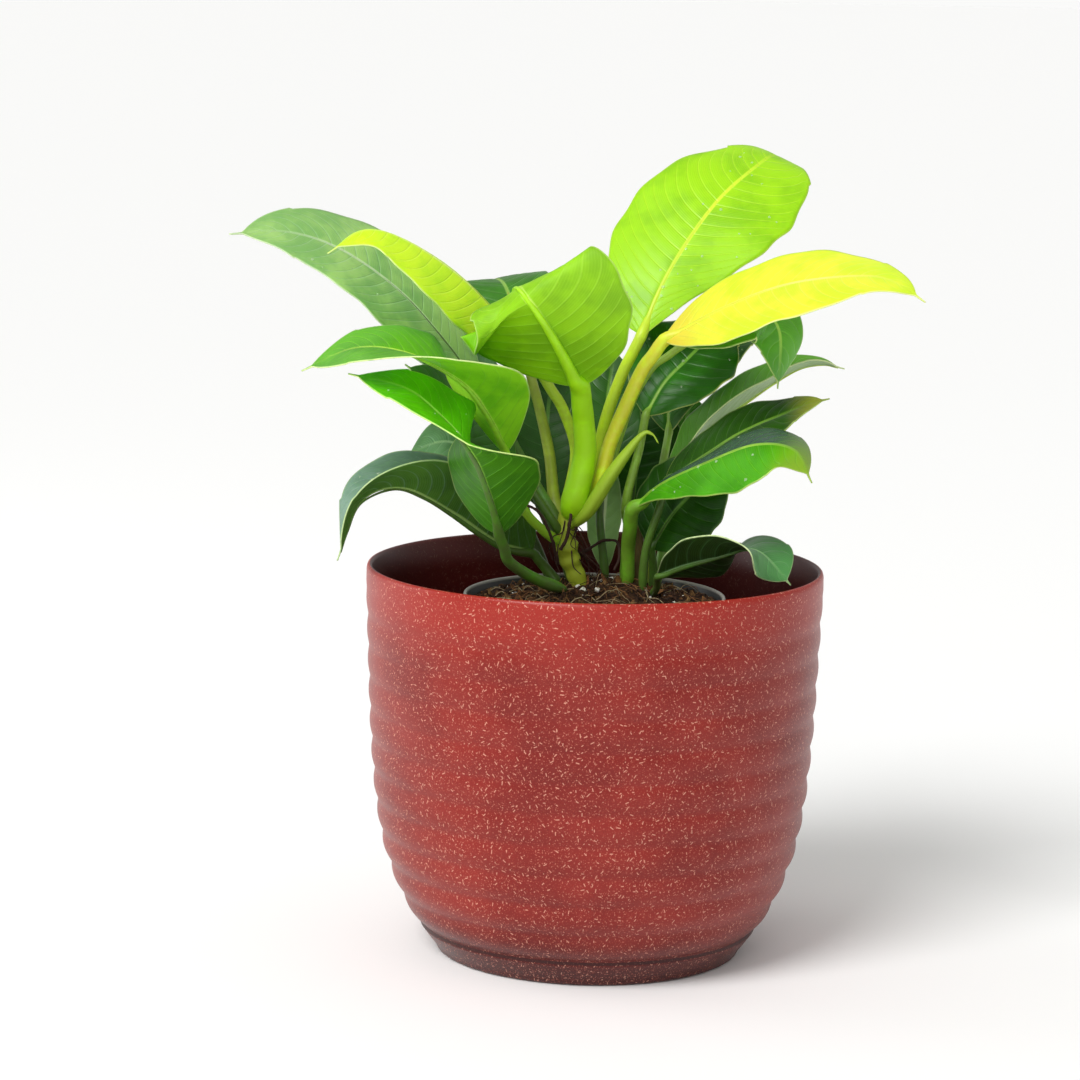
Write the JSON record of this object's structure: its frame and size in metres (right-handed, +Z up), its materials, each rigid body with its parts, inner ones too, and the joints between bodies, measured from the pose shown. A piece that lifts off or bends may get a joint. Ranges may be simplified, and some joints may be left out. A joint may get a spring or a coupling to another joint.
{
  "type": "potted philodendron",
  "caption": "Philodendron with broad lime and deep green leaves, its nursery pot standing inside a ribbed, speckled reddish cover pot that tapers to its foot.",
  "frame": {"origin": "centre of the cover pot's foot, on the surface it stands on", "axes": "+Z up along the pots' common axis, +X to the right and +Y to the back as the plant is seen from its front"},
  "size_m": [0.3106, 0.2175, 0.371],
  "materials": {
    "pot_composite": "satin, speckled fibre composite",
    "nursery_plastic": "satin",
    "riser_foam": "matte",
    "peat_soil": "matte, crumbly peat with bark and perlite",
    "stem_bark": "satin, with brown scars and fibres",
    "sheath": "satin, drying to orange brown at its tip",
    "aerial_root": "matte",
    "leaf_lime": "satin, waxy",
    "leaf_yellow": "satin, waxy",
    "leaf_green": "satin, waxy",
    "leaf_vivid": "satin, waxy",
    "leaf_grey": "satin, waxy",
    "leaf_dark": "satin, waxy",
    "leaf_stalk": "satin"
  },
  "bodies": {
    "root": {"cover_pot": "pot_composite", "nursery_pot": "nursery_plastic", "pot_riser": "riser_foam", "soil": "peat_soil", "main_stem": "stem_bark", "side_stem": "stem_bark", "bud_sheath": "sheath", "root_upright": "aerial_root", "root_tangled": "aerial_root", "root_looped": "aerial_root", "leaf_crown": "leaf_lime", "stalk_crown": "leaf_stalk", "leaf_yellow": "leaf_yellow", "stalk_yellow": "leaf_stalk", "leaf_front": "leaf_lime", "stalk_front": "leaf_stalk", "leaf_lime": "leaf_lime", "stalk_lime": "leaf_stalk", "leaf_long": "leaf_grey", "stalk_long": "leaf_stalk", "leaf_tucked": "leaf_grey", "stalk_tucked": "leaf_stalk", "leaf_arched": "leaf_green", "stalk_arched": "leaf_stalk", "leaf_vivid": "leaf_vivid", "stalk_vivid": "leaf_stalk", "leaf_drooping": "leaf_grey", "stalk_drooping": "leaf_stalk", "leaf_pale": "leaf_grey", "stalk_pale": "leaf_stalk", "leaf_inner": "leaf_dark", "stalk_inner": "leaf_stalk", "leaf_wavy": "leaf_dark", "stalk_wavy": "leaf_stalk", "leaf_upper": "leaf_dark", "stalk_upper": "leaf_stalk", "leaf_hooked": "leaf_green", "stalk_hooked": "leaf_stalk", "leaf_slender": "leaf_green", "stalk_slender": "leaf_stalk", "leaf_shaded": "leaf_green", "stalk_shaded": "leaf_stalk", "leaf_glossy": "leaf_green", "stalk_glossy": "leaf_stalk", "leaf_broad": "leaf_dark", "stalk_broad": "leaf_stalk", "leaf_tapered": "leaf_dark", "stalk_tapered": "leaf_stalk", "leaf_low": "leaf_green", "stalk_low": "leaf_stalk", "leaf_short": "leaf_grey", "stalk_short": "leaf_stalk", "leaf_dark": "leaf_dark", "stalk_dark": "leaf_stalk", "leaf_back": "leaf_dark", "stalk_back": "leaf_stalk", "leaf_nested": "leaf_dark", "stalk_nested": "leaf_stalk", "leaf_rear": "leaf_dark", "stalk_rear": "leaf_stalk"}
  },
  "joints": []
}
